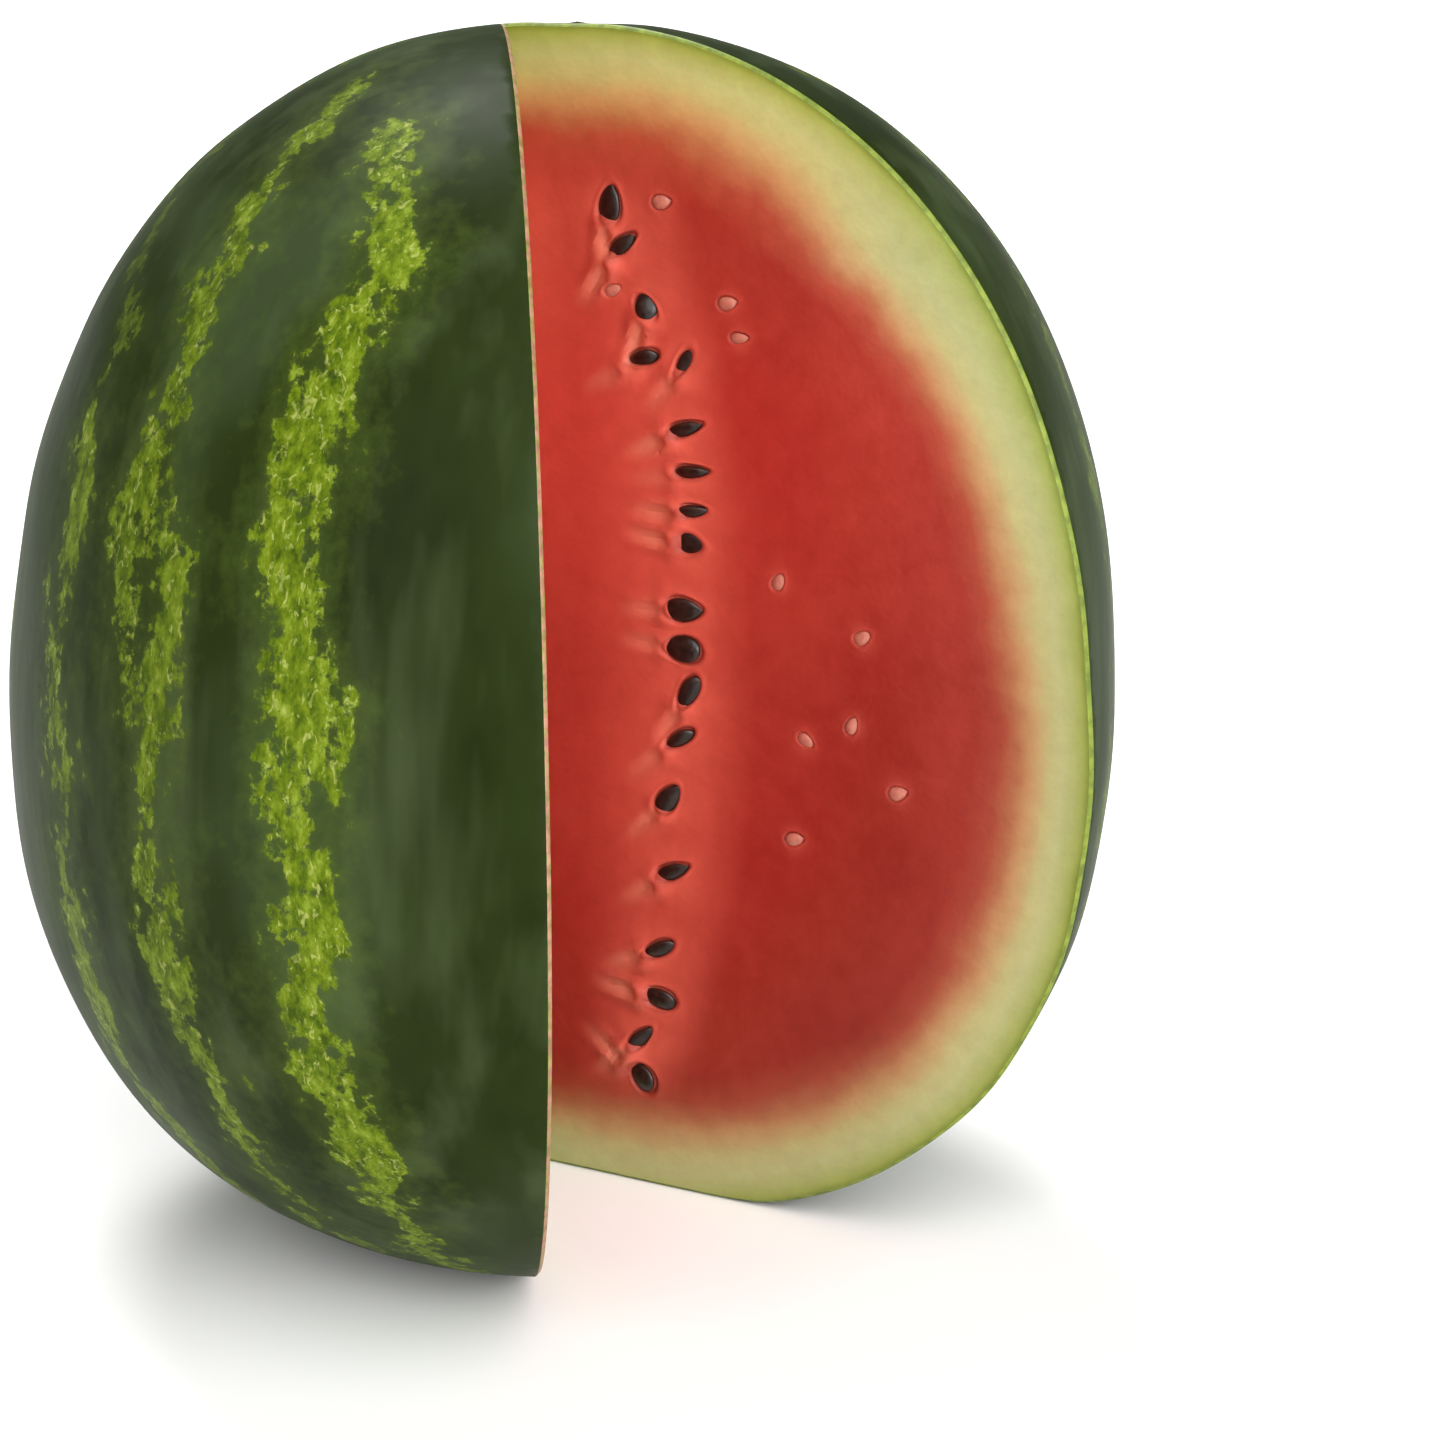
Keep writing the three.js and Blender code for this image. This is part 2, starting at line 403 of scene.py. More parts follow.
# %% [markdown]
# Flesh parts from a seed in a narrow groove, with a soft lip round it, and closes over the end that
# points to the core. From there a pale thread, which once fed the seed, runs on between two soft
# folds. A bump texture could draw all this, but the lip and the groove cast small shadows, and those
# are what make a seed look set in and not laid on.

# %% How the flesh lies round one seed
HOLLOW = {"ripe": 0.42 * MM, "unripe": 0.15 * MM}
GROOVE = {"ripe": 0.65 * MM, "unripe": 0.25 * MM}
LIP = {"ripe": 0.32 * MM, "unripe": 0.18 * MM}
SEED_GLOW_MM = {"ripe": 7.5, "unripe": 3}
SUNK = 1.1 * MM
CLOSED_LIFT = 1.9 * MM
FOLD = 0.85 * MM
FOLD_PITCH_MM = 5.4
# how strongly juice and painted shade darken the groove round a seed
JUICE_AND_SHADE = 0.75
# where these lie and how wide they are, where 0 is a seed's middle and 1 is its surface
HOLLOW_AT, GROOVE_AT, LIP_AT, JUICE_AND_SHADE_AT = (0.8, 0.75), (1.03, 0.11), (1.36, 0.2), (1.04, 0.13)
SUNK_EDGE = (0.55, 1.0)
# how long and how wide the closed flesh is, and how wide the folds and the thread are
CLOSED_MM, FOLDS_MM, THREAD_MM = (2.5, 3.4), 4.5, 2.1
# how far beyond the seed's end the thread comes up and fades away
THREAD_STARTS_MM, THREAD_FADES_MM = (-1, 2), (3, 15)
# how much a seed darkens the flesh over it, by how many millimetres deep it lies
SHOWS_THROUGH = {0.5: 0.5, 1.2: 0.3, 2: 0.2}
rng = np.random.default_rng(7)


def bell(value, middle, width):
    """1 where a value is at the middle, and soon 0 beyond the width."""
    return np.exp(-(((value - middle) / width) ** 2))


def seed_surroundings(points, face, seed):
    """How far one seed lifts each point of a face, and the attributes that it gives them."""
    kind, ripe = seed["kind"], seed["kind"] == "ripe"
    away = points - seed["middle"]
    # the end that points to the core is the one where flesh closes over the seed
    way = seed["axes"][0] * np.sign(-seed["axes"][0] @ face["out"])
    sideways = np.cross(face["normal"], way)
    sideways /= max(np.linalg.norm(sideways), 1e-6)
    along, across = away @ way / MM, away @ sideways / MM
    strength = ripe * rng.uniform(0.35, 1)
    end = SEED_HALF[kind][0] / MM
    closed = strength * bell(along, 0.9 * end, CLOSED_MM[0]) * bell(across, 0, CLOSED_MM[1])
    starts = smooth_step(end + THREAD_STARTS_MM[0], end + THREAD_STARTS_MM[1], along)
    fades = smooth_step(end + THREAD_FADES_MM[0], end + THREAD_FADES_MM[1], along)
    fade = strength * starts * (1 - fades)
    folds = -np.cos(2 * math.pi * across / FOLD_PITCH_MM) * bell(across, 0, FOLDS_MM)

    share = seed_share(points, seed)
    sunk = HOLLOW[kind] * bell(share, *HOLLOW_AT) + GROOVE[kind] * bell(share, *GROOVE_AT)
    sunk += SUNK * (1 - smooth_step(*SUNK_EDGE, share)) - LIP[kind] * bell(share, *LIP_AT)
    lift = FOLD * fade * folds + CLOSED_LIFT * closed - sunk * (1 - closed)
    # juice and painted shade darken the groove; a ripe seed just under the face darkens the flesh over it
    juice_and_shade = JUICE_AND_SHADE * bell(share, *JUICE_AND_SHADE_AT) * (1 - closed)
    shadow = sum(darkens * (seed_share(points - face["normal"] * deep * MM, seed) < 1)
                 for deep, darkens in SHOWS_THROUGH.items())
    return lift, {
        "by_seed": bell(np.linalg.norm(away, axis=1) / MM, 0, SEED_GLOW_MM[kind]),
        "seed_under_and_groove_shade": np.maximum(juice_and_shade, ripe * shadow),
        "seed_thread": fade * bell(across, 0, THREAD_MM),
    }


# %% [markdown]
# The rind isn't equally thick everywhere: its cream layer is thickest at the shoulder. The material
# only sees one depth, so the depth itself is stretched there. The green line right under the skin
# stays as it is, because the stretching only starts below it.

# %% Relief of a whole face and the attributes that its material reads
KNIFE_WAVE = 0.16 * MM
RIND_HEIGHTS_MM = [-140, -60, 0, 52, 95, 122, 145]
RIND_EXTRA_MM = [0, -2.6, -3.2, 0.2, 5.2, -1.5, -2.5]
CREAM_LAYER_MM = (2, 16)
LEAST_WAY_OUT = 20 * MM


def relief(name, face):
    """Moves a face's points in and out, and keeps the values of each attribute."""
    flat = face["flat"]
    points = from_face(flat, face)
    x, y = flat.T / MM
    wave = np.sin(y / 9.5 + 0.02 * x) + 0.6 * np.sin(x / 13 + y / 31 + 1) + 0.4 * np.sin(y / 4.1 - x / 17)
    lift = KNIFE_WAVE * wave / 2
    near = {key: np.zeros(len(flat)) for key in ("by_seed", "seed_under_and_groove_shade", "seed_thread")}
    for seed in (seed for seed in seeds if seed["face"] == name):
        seed_lift, seed_values = seed_surroundings(points, face, seed)
        lift += seed_lift
        for key, value in seed_values.items():
            near[key] = np.maximum(near[key], value)
    # the border stays where the chamfer and the other face meet it
    lift[:face["border_points"]] = 0
    face["points"] = points + lift[:, None] * face["normal"]

    depth = -outside_skin(points) / MM
    extra = np.interp(own_places(points)[:, 2] / MM, RIND_HEIGHTS_MM, RIND_EXTRA_MM)
    level_starts = from_face(np.stack([np.zeros_like(y), flat[:, 1]], axis=1), face)
    full_way = reach(level_starts, np.tile(face["out"], (len(flat), 1)))
    face["values"] = {
        "under_skin_mm": depth - extra * smooth_step(*CREAM_LAYER_MM, depth),
        "way_out": flat[:, 0] / np.maximum(full_way, LEAST_WAY_OUT),
        **near,
    }


for name, face in FACES.items():
    relief(name, face)
    for key, values in face["values"].items():
        print(name, key, "from", round(float(values.min()), 2), "to", round(float(values.max()), 2))

# %% [markdown]
# ## The stripes
#
# The light stripes run from one end of the melon to the other and wander a little. Each one is a path
# of points: a height along the melon's axis, in millimetres, and a heading round it from the front,
# in degrees. What the material needs is how far inside a stripe each point is, in millimetres. The
# noise that makes the stripe ragged can then be added to a real distance. Bands of noise alone would
# be shorter to write, but then nobody could say where a stripe runs or how wide it is.

# %% Where each stripe runs, how wide it is and how strongly it shows
# a path, half the width in millimetres and how strongly it shows
STRIPES = [
    ([(-140, -24), (-33, -25), (33, -26.5), (70, -26), (95, -23), (112, -27), (122, -30)], 7.6, 1.0),
    ([(-140, -44), (16, -43), (68, -46), (100, -47), (132, -52)], 5.2, 0.8),
    ([(-70, -42), (-45, -43), (-16, -45), (7, -50), (36, -48), (48, -46)], 5.0, 0.8),
    ([(-140, -63), (-29, -61), (47, -61), (58, -63)], 5.4, 0.8),
    ([(52, -62), (73, -63), (110, -78), (140, -80)], 3.6, 0.35),
    ([(-140, -88), (0, -84), (140, -90)], 4.4, 0.8),
    ([(-140, -112), (0, -108), (140, -113)], 5.6, 0.95),
    ([(-140, -135), (0, -138), (140, -133)], 4.2, 0.85),
    ([(-140, -166), (0, -162), (140, -165)], 6.2, 1.0),
    ([(-140, 170), (0, 174), (140, 169)], 4.0, 0.8),
    ([(-140, 146), (0, 149), (140, 143)], 5.4, 0.95),
    ([(-140, 121), (0, 118), (140, 124)], 4.2, 0.85),
    ([(-140, 101), (0, 103), (140, 99)], 5.0, 0.9),
    ([(-140, 84), (30, 81), (90, 80), (140, 83)], 3.6, 0.5),
]
WANDER_DEGREES = 1.1
END_POINT = 1.75
FULL_WIDTH_FROM = 110
NO_STRIPE = -60.0

own = own_places(skin_points)
heading = np.degrees(np.arctan2(own[:, 0], -own[:, 1]))
height = own[:, 2] / MM
around = np.hypot(own[:, 0], own[:, 1]) / MM
inside_stripe = np.full(len(own), NO_STRIPE)
stripe_shows = np.zeros(len(own))
for path, full_half, shows in STRIPES:
    heights, headings = zip(*path)
    phase = rng.uniform(0, 2 * math.pi, 2)
    wander = np.sin(height / 17 + phase[0]) + 0.6 * np.sin(height / 8.3 + phase[1])
    middle = np.interp(height, heights, headings) + WANDER_DEGREES * wander
    apart = np.radians((heading - middle + 180) % 360 - 180) * around
    # stripes crowd together towards the ends, so they get narrower there
    half = full_half * (0.35 + 0.65 * np.clip(around / FULL_WIDTH_FROM, 0, 1))
    beyond = np.maximum(np.maximum(min(heights) - height, height - max(heights)), 0)
    inside = half - np.hypot(apart, beyond * END_POINT)
    stripe_shows = np.where(inside > inside_stripe, shows, stripe_shows)
    inside_stripe = np.maximum(inside_stripe, inside)
print(f"{np.mean(inside_stripe > 0):.0%} of the skin's points are inside a stripe")

# %% [markdown]
# ## One closed mesh with three surfaces
#
# The melon is one piece, so skin, cut rim and flesh become one closed mesh with three materials. The
# skin runs softly over into the chamfer. Where the chamfer meets the flesh, and where the two cut
# faces meet, the edge is marked sharp so that the shading breaks there.

# %% The skin, both cut faces and both chamfers
SKIN, RIM, FLESH = range(3)
parts = [{
    "points": skin_points, "faces": skin_faces, "surface": SKIN,
    "values": {"inside_stripe_mm": inside_stripe, "stripe_shows": stripe_shows},
}]
for end in (0, -1):
    shared = (FACES["front"]["chamfer_rim"][end] + FACES["side"]["chamfer_rim"][end]) / 2
    for face in FACES.values():
        face["chamfer_rim"][end] = shared
for name, face in FACES.items():
    parts.append({
        "points": face["points"], "faces": face["faces"], "surface": FLESH, "values": face["values"],
    })
    count = len(FAN)
    strip = []
    for row in range(2):
        for i in range(count - 1):
            corner = row * count + i
            strip.append((corner, corner + 1, corner + 1 + count, corner + count))
    rim_values = {key: np.tile(v[:count], 3) for key, v in face["values"].items()}
    rim_values["pale_rim"] = np.full(3 * count, float(name == "side"))
    parts.append({
        "points": np.vstack([face["skin_rim"], face["chamfer_rim"], face["face_rim"]]),
        "faces": strip, "surface": RIM, "values": rim_values,
    })
print("the melon has", len(parts), "parts, with", [len(part["faces"]) for part in parts], "faces")

# %% Join them into one mesh with all its attributes
ATTRIBUTES = ["inside_stripe_mm", "stripe_shows", "under_skin_mm", "way_out", "by_seed", "seed_under_and_groove_shade",
              "seed_thread", "pale_rim"]
all_points = np.vstack([part["points"] for part in parts])
all_faces, surfaces, first = [], [], 0
for part in parts:
    all_faces += [[corner + first for corner in polygon] for polygon in part["faces"]]
    surfaces += [part["surface"]] * len(part["faces"])
    first += len(part["points"])
mesh = bpy.data.meshes.new("melon_flesh_and_skin")
mesh.from_pydata(all_points.tolist(), [], all_faces)
mesh.polygons.foreach_set("material_index", surfaces)
for key in ATTRIBUTES:
    values = [part["values"].get(key, np.zeros(len(part["points"]))) for part in parts]
    mesh.attributes.new(key, "FLOAT", "POINT").data.foreach_set("value", np.concatenate(values))
print(len(mesh.vertices), "points before welding, with", len(ATTRIBUTES), "attributes")

# %% Weld the seams, turn every face outwards and mark the sharp edges
WELD = 1e-6
SHARP = math.radians(24)
bm = bmesh.new()
bm.from_mesh(mesh)
bmesh.ops.remove_doubles(bm, verts=bm.verts, dist=WELD)
bmesh.ops.recalc_face_normals(bm, faces=bm.faces)
open_edges = [edge for edge in bm.edges if len(edge.link_faces) != 2]
for polygon in bm.faces:
    polygon.smooth = True
for edge in bm.edges:
    touches_flesh = any(polygon.material_index == FLESH for polygon in edge.link_faces)
    edge.smooth = not (touches_flesh and edge.calc_face_angle(0) > SHARP)
bm.to_mesh(mesh)
print(len(bm.verts), "points,", len(open_edges), "open edges,", round(bm.calc_volume() * 1000, 3), "litres")
bm.free()

melon = new_object("melon_body", mesh)
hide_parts("melon")
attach(melon, "root")

# %% [markdown]
# ## The seeds
#
# A watermelon seed is a flat drop: blunt at one end, pointed at the other, and thickest in the middle,
# with a thin ridge round its edge. A squashed sphere has neither the point nor the edge, so rings of
# points along the length give that outline, and a lens-shaped section makes the edge. Ripe seeds are
# hard and dark. Unripe ones stay small, soft and pale, and lie nearer the skin.

# %% One seed mesh, made to the size of its kind
SEED_RINGS = 30
SEED_AROUND = 26


def seed_points(half, waves):
    """Rings of points from the blunt end at -x to the pointed end at +x."""
    turn = np.linspace(math.pi, 0, SEED_RINGS + 2)[1:-1]
    around = np.linspace(0, 2 * math.pi, SEED_AROUND, endpoint=False)
    x = np.cos(turn)[:, None]
    outline = np.sin(turn)[:, None] * (1 - SEED_TAPER * x)
    outline = outline * (1 - 0.3 * smooth_step(0.55, 1.0, x))
    # the section is a lens whose rim is a little proud of it
    rim_ridge = 0.16 * np.exp(-((np.sin(around) / 0.2) ** 2)) * np.abs(np.sin(around))
    y = outline * np.cos(around)
    rise = np.sin(around)
    z = outline * (rise * (0.8 + 0.2 * np.abs(rise)) + np.sign(rise) * rim_ridge)
    swell = 1 + 0.02 * np.sin(4 * x + waves[0]) * np.cos(2 * around + waves[1])
    rings = np.stack([np.broadcast_to(x, y.shape), y * swell, z * swell], axis=2).reshape(-1, 3)
    return np.vstack([rings, [[-1, 0, 0], [1, 0, 0]]]) * half


def seed_faces():
    """Squares between the rings and a fan of triangles at each end."""
    faces = []
    for ring in range(SEED_RINGS - 1):
        for i in range(SEED_AROUND):
            j = (i + 1) % SEED_AROUND
            low, high = ring * SEED_AROUND, (ring + 1) * SEED_AROUND
            faces.append((low + i, low + j, high + j, high + i))
    blunt, pointed = SEED_RINGS * SEED_AROUND, SEED_RINGS * SEED_AROUND + 1
    last = (SEED_RINGS - 1) * SEED_AROUND
    for i in range(SEED_AROUND):
        j = (i + 1) % SEED_AROUND
        faces.append((blunt, j, i))
        faces.append((pointed, last + i, last + j))
    return faces


# %% A fine seed in place of each plain one
SEED_FIT = 0.985
RIM_SHARE = 2.2
for seed in seeds:
    local = seed_points(SEED_HALF[seed["kind"]] * SEED_FIT, rng.uniform(0, 2 * math.pi, 2))
    seed_mesh = bpy.data.meshes.new(seed["name"])
    seed_mesh.from_pydata((local @ seed["axes"] + seed["middle"]).tolist(), [], seed_faces())
    seed_mesh.polygons.foreach_set("use_smooth", [True] * len(seed_mesh.polygons))
    thickness = np.abs(local[:, 2]) / SEED_HALF[seed["kind"]][2]
    near_rim = seed_mesh.attributes.new("near_rim", "FLOAT", "POINT")
    near_rim.data.foreach_set("value", 1 - np.clip(thickness * RIM_SHARE, 0, 1))
    seed["piece"] = new_object("fine_" + seed["name"], seed_mesh)
    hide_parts(seed["name"])
    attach(seed["piece"], "root")
print(len(seeds), "fine seeds of", len(seed_mesh.polygons), "faces each")

# %% [markdown]
# ## Tools for the materials
#
# One function adds any node, gives it its settings and connects its inputs. One turns a colour code
# into the linear colour that Blender computes with. Pattern sizes are real ones: a noise texture's
# scale is how many features it has per metre, so a 6 mm feature has a scale of 1000 / 6.
#
# Inputs go by name or by number. Map Range has its value as input 0, then the two ends it comes from
# and the two it goes to. Mix has its share as input 0, and its colours have the numbers below. Where
# a node is given as an input, its first output that is in use is what gets connected.

# %% Node, colour and size helpers
MIX_A, MIX_B = 6, 7


def add(material, kind, inputs=None, stops=None, **settings):
    """Adds one node. An input is a value, another node or its output. Stops are a colour ramp's."""
    node = material.node_tree.nodes.new(kind)
    for key, value in settings.items():
        setattr(node, key, value)
    for key, value in (inputs or {}).items():
        if isinstance(value, bpy.types.Node):
            value = next(output for output in value.outputs if output.enabled)
        if isinstance(value, bpy.types.NodeSocket):
            material.node_tree.links.new(value, node.inputs[key])
        else:
            node.inputs[key].default_value = value
    for i, (position, code) in enumerate(stops or []):
        ramp = node.color_ramp
        stop = ramp.elements[i] if i < 2 else ramp.elements.new(position)
        stop.position, stop.color = position, linear(code)
    return node


def linear(code):
    """An sRGB colour code such as 'ba3229' as linear red, green, blue and alpha."""
    shares = [int(code[i:i + 2], 16) / 255 for i in (0, 2, 4)]
    return tuple(s / 12.92 if s <= 0.04045 else ((s + 0.055) / 1.055) ** 2.4 for s in shares) + (1.0,)


def per_mm(size):
    """The scale of a texture whose features are this many millimetres across."""
    return 1000 / size


def new_material(name):
    """A material with no nodes yet."""
    material = bpy.data.materials.new(name)
    material.use_nodes = True
    material.node_tree.nodes.clear()
    return material


# %% [markdown]
# ## Waxy striped skin
#
# The skin is plant wax over green rind. To the eye it is nearly black-green with a soft gloss, dulled
# by a grey bloom where the wax is thicker. The light stripes are yellow-green patches, broken up by
# dark nicks and dotted with pale flecks. It could be painted by hand on an unwrapped map, but noise
# gives this much detail all round the melon without a seam. All patches are drawn out along the
# melon's axis, because the skin stretched that way as it grew. So the textures are laid out in the
# melon's own frame, and squeezed along its axis.

# %% Skin: where its stripes are
OWN_FRAME = {"Location": tuple(MIDDLE), "Rotation": tuple(LEAN)}
skin = new_material("waxy_melon_skin")
place = add(skin, "ShaderNodeTexCoord").outputs["Object"]
own_place = add(skin, "ShaderNodeMapping", {"Vector": place, **OWN_FRAME}, vector_type="TEXTURE")
drawn_out = add(skin, "ShaderNodeMapping", {"Vector": own_place, "Scale": (1, 1, 0.55)})
inside_mm = add(skin, "ShaderNodeAttribute", attribute_name="inside_stripe_mm").outputs["Fac"]
shows = add(skin, "ShaderNodeAttribute", attribute_name="stripe_shows").outputs["Fac"]

# lobes of about a centimetre and nicks of a few millimetres move the stripe's edge in and out
lobes = add(skin, "ShaderNodeTexNoise",
            {"Vector": drawn_out, "Scale": per_mm(10), "Detail": 2, "Roughness": 0.6})
nicks = add(skin, "ShaderNodeTexNoise",
            {"Vector": own_place, "Scale": per_mm(3.8), "Detail": 6, "Roughness": 0.66})
lobe_mm = add(skin, "ShaderNodeMapRange", {0: lobes, 1: 0.3, 2: 0.7, 3: -6, 4: 5.5})
nick_mm = add(skin, "ShaderNodeMapRange", {0: nicks, 1: 0.3, 2: 0.72, 3: -6.5, 4: 5})
ragged = add(skin, "ShaderNodeMath", {0: inside_mm, 1: lobe_mm})
ragged = add(skin, "ShaderNodeMath", {0: ragged, 1: nick_mm})
stripe = add(skin, "ShaderNodeMapRange", {0: ragged, 1: -1.0, 2: 2.2}, interpolation_type="SMOOTHSTEP")
stripe = add(skin, "ShaderNodeMath", {0: stripe, 1: shows}, operation="MULTIPLY")
# a lighter green fringe round each stripe, widened so that it also paints in a soft haze of sheen beside
# the stripes
fringe_and_sheen = add(skin, "ShaderNodeMapRange", {0: ragged, 1: -12, 2: 3, 3: 0, 4: 0.36})
fringe_and_sheen = add(skin, "ShaderNodeMath", {0: fringe_and_sheen, 1: shows}, operation="MULTIPLY")

# %% Skin: the dark ground, with its bloom, streaks of painted sheen and a faint network
bloom = add(skin, "ShaderNodeTexNoise",
            {"Vector": drawn_out, "Scale": per_mm(52), "Detail": 3, "Roughness": 0.55})
ground = add(skin, "ShaderNodeValToRGB", {"Fac": bloom},
             stops=[(0.32, "182107"), (0.68, "303c22"), (0.5, "1f290c")])
# painted sheen: pale grey-green streaks drawn out along the axis stand in for the soft upright sheen of a
# light on the wax
along_axis = add(skin, "ShaderNodeMapping", {"Vector": own_place, "Location": (15 * MM, 0, 0),
                                             "Scale": (1, 1, 0.16)})
sheen_streaks = add(skin, "ShaderNodeTexNoise",
            {"Vector": along_axis, "Scale": per_mm(15), "Detail": 3, "Roughness": 0.5})
sheen_streaks = add(skin, "ShaderNodeMapRange", {0: sheen_streaks, 1: 0.5, 2: 0.78, 3: 0, 4: 0.48})
network = add(skin, "ShaderNodeTexVoronoi", {"Vector": drawn_out, "Scale": per_mm(5), "Randomness": 1},
              feature="SMOOTH_F1")
network = add(skin, "ShaderNodeMapRange", {0: network, 1: 0.2, 2: 0.8, 3: 0, 4: 0.22})
for share, code in ((sheen_streaks, "4a5638"), (network, "283412"), (fringe_and_sheen, "4d5f22")):
    ground = add(skin, "ShaderNodeMix", {0: share, MIX_A: ground, MIX_B: linear(code)}, data_type="RGBA")

# %% Skin: the stripes' own patches and flecks
patches = add(skin, "ShaderNodeTexNoise",
              {"Vector": drawn_out, "Scale": per_mm(3.2), "Detail": 4, "Roughness": 0.7})
patch_colour = add(skin, "ShaderNodeValToRGB", {"Fac": patches},
                   stops=[(0.34, "33440a"), (0.68, "74852a"), (0.45, "4a5c0d"), (0.55, "5d6e12")])
flecks = add(skin, "ShaderNodeTexNoise",
             {"Vector": drawn_out, "Scale": per_mm(1.9), "Detail": 2, "Distortion": 1.2})
flecks = add(skin, "ShaderNodeMapRange", {0: flecks, 1: 0.58, 2: 0.7, 3: 0, 4: 0.62})
patch_colour = add(skin, "ShaderNodeMix", {0: flecks, MIX_A: patch_colour, MIX_B: linear("9da458")},
                   data_type="RGBA")
skin_colour = add(skin, "ShaderNodeMix", {0: stripe, MIX_A: ground, MIX_B: patch_colour}, data_type="RGBA")

# %% Skin: pores, dents and gloss
# real pores are finer than this, but then nothing of them would show
pores = add(skin, "ShaderNodeTexNoise", {"Vector": own_place, "Scale": per_mm(0.9), "Detail": 3})
dents = add(skin, "ShaderNodeTexNoise", {"Vector": drawn_out, "Scale": per_mm(9), "Detail": 2})
bump = add(skin, "ShaderNodeBump", {"Height": pores, "Strength": 0.25, "Distance": 0.05 * MM})
bump = add(skin, "ShaderNodeBump",
           {"Height": dents, "Strength": 0.5, "Distance": 0.35 * MM, "Normal": bump})
wax = add(skin, "ShaderNodeMapRange", {0: bloom, 1: 0.3, 2: 0.7, 3: 0.38, 4: 0.55})
# plant wax has an IOR of 1.4, but a film this thin and uneven mirrors much less than a solid block
shader = add(skin, "ShaderNodeBsdfPrincipled",
             {"Base Color": skin_colour, "Roughness": wax, "Normal": bump, "IOR": 1.4,
              "Specular IOR Level": 0.06})
add(skin, "ShaderNodeOutputMaterial", {"Surface": shader})
print(skin.name, "has", len(skin.node_tree.nodes), "nodes")

# %% [markdown]
# ## Cut rim
#
# The knife tears the skin a little as it leaves it, and the thin torn line dries pale. On the cut
# that was made later it is still fresh and green. It could be a line in the skin's own material, but
# the chamfer is a surface of its own that catches the light, so it gets a material of its own.

# %% Cut rim: pale where it dried, green-yellow where it is fresh
rim = new_material("cut_rim_of_rind")
place = add(rim, "ShaderNodeTexCoord").outputs["Object"]
pale = add(rim, "ShaderNodeAttribute", attribute_name="pale_rim").outputs["Fac"]
torn = add(rim, "ShaderNodeTexNoise", {"Vector": place, "Scale": per_mm(2.5), "Detail": 3})
fresh = add(rim, "ShaderNodeValToRGB", {"Fac": torn}, stops=[(0.35, "59681c"), (0.65, "78872a")])
dried = add(rim, "ShaderNodeValToRGB", {"Fac": torn}, stops=[(0.35, "8c614b"), (0.65, "a87c62")])
rim_colour = add(rim, "ShaderNodeMix", {0: pale, MIX_A: fresh, MIX_B: dried}, data_type="RGBA")
bump = add(rim, "ShaderNodeBump", {"Height": torn, "Strength": 0.4, "Distance": 0.1 * MM})
shader = add(rim, "ShaderNodeBsdfPrincipled",
             {"Base Color": rim_colour, "Roughness": 0.5, "Normal": bump, "IOR": 1.4})
add(rim, "ShaderNodeOutputMaterial", {"Surface": shader})
print(rim.name, "has", len(rim.node_tree.nodes), "nodes")

# %% [markdown]
# ## Rind and flesh
#
# From the skin inwards the colour goes from green through cream and peach to red. That depends only on
# how deep a point lies, so one colour ramp over the depth paints it, with its depth shaken by
# noise so that no border is a clean line. A ramp over the picture of a whole slice would be simpler,
# but it would fit one cut only, and this one fits any.

# %% Flesh: a colour ramp over the depth under the skin
RAMP_DEPTH_MM = 110
# a new ramp starts with two stops, so its two ends come first
RIND_COLOURS = [
    (0, "4a5510"), (RAMP_DEPTH_MM, "b83b30"), (1, "6f7b2b"), (2.4, "8a9447"), (5, "999e60"),
    (9, "a5a672"), (14, "aaa36d"), (17, "af9564"), (20, "ae8458"), (23.5, "a56543"),
    (27.5, "9e432f"), (34, "95291e"), (48, "98271d"), (75, "a82c23"),
]
flesh = new_material("juicy_melon_flesh")
place = add(flesh, "ShaderNodeTexCoord").outputs["Object"]
own_place = add(flesh, "ShaderNodeMapping", {"Vector": place, **OWN_FRAME}, vector_type="TEXTURE")
height = add(flesh, "ShaderNodeSeparateXYZ", {0: own_place}).outputs["Z"]
depth_mm = add(flesh, "ShaderNodeAttribute", attribute_name="under_skin_mm").outputs["Fac"]

# the shaking grows with depth, because the green line under the skin is nearly clean
shake = add(flesh, "ShaderNodeTexNoise",
            {"Vector": own_place, "Scale": per_mm(24), "Detail": 4, "Roughness": 0.6})
shake = add(flesh, "ShaderNodeMapRange", {0: shake, 1: 0.3, 2: 0.7, 3: -1, 4: 1})
shake_mm = add(flesh, "ShaderNodeMapRange", {0: depth_mm, 1: 0, 2: 22, 3: 0.3, 4: 2.2})
depth_mm = add(flesh, "ShaderNodeMath", {0: shake, 1: shake_mm, 2: depth_mm}, operation="MULTIPLY_ADD")
ramp_share = add(flesh, "ShaderNodeMath", {0: depth_mm, 1: RAMP_DEPTH_MM}, operation="DIVIDE")
flesh_colour = add(flesh, "ShaderNodeValToRGB", {"Fac": ramp_share},
                   stops=[(mm / RAMP_DEPTH_MM, code) for mm, code in RIND_COLOURS])
print(flesh.name, "has a ramp of", len(RIND_COLOURS), "colours")

# %% Flesh: yellower rind near the upper end, and painted shade that darkens the flesh towards the lower end
upper_end = add(flesh, "ShaderNodeMapRange", {0: height, 1: 95 * MM, 2: 130 * MM})
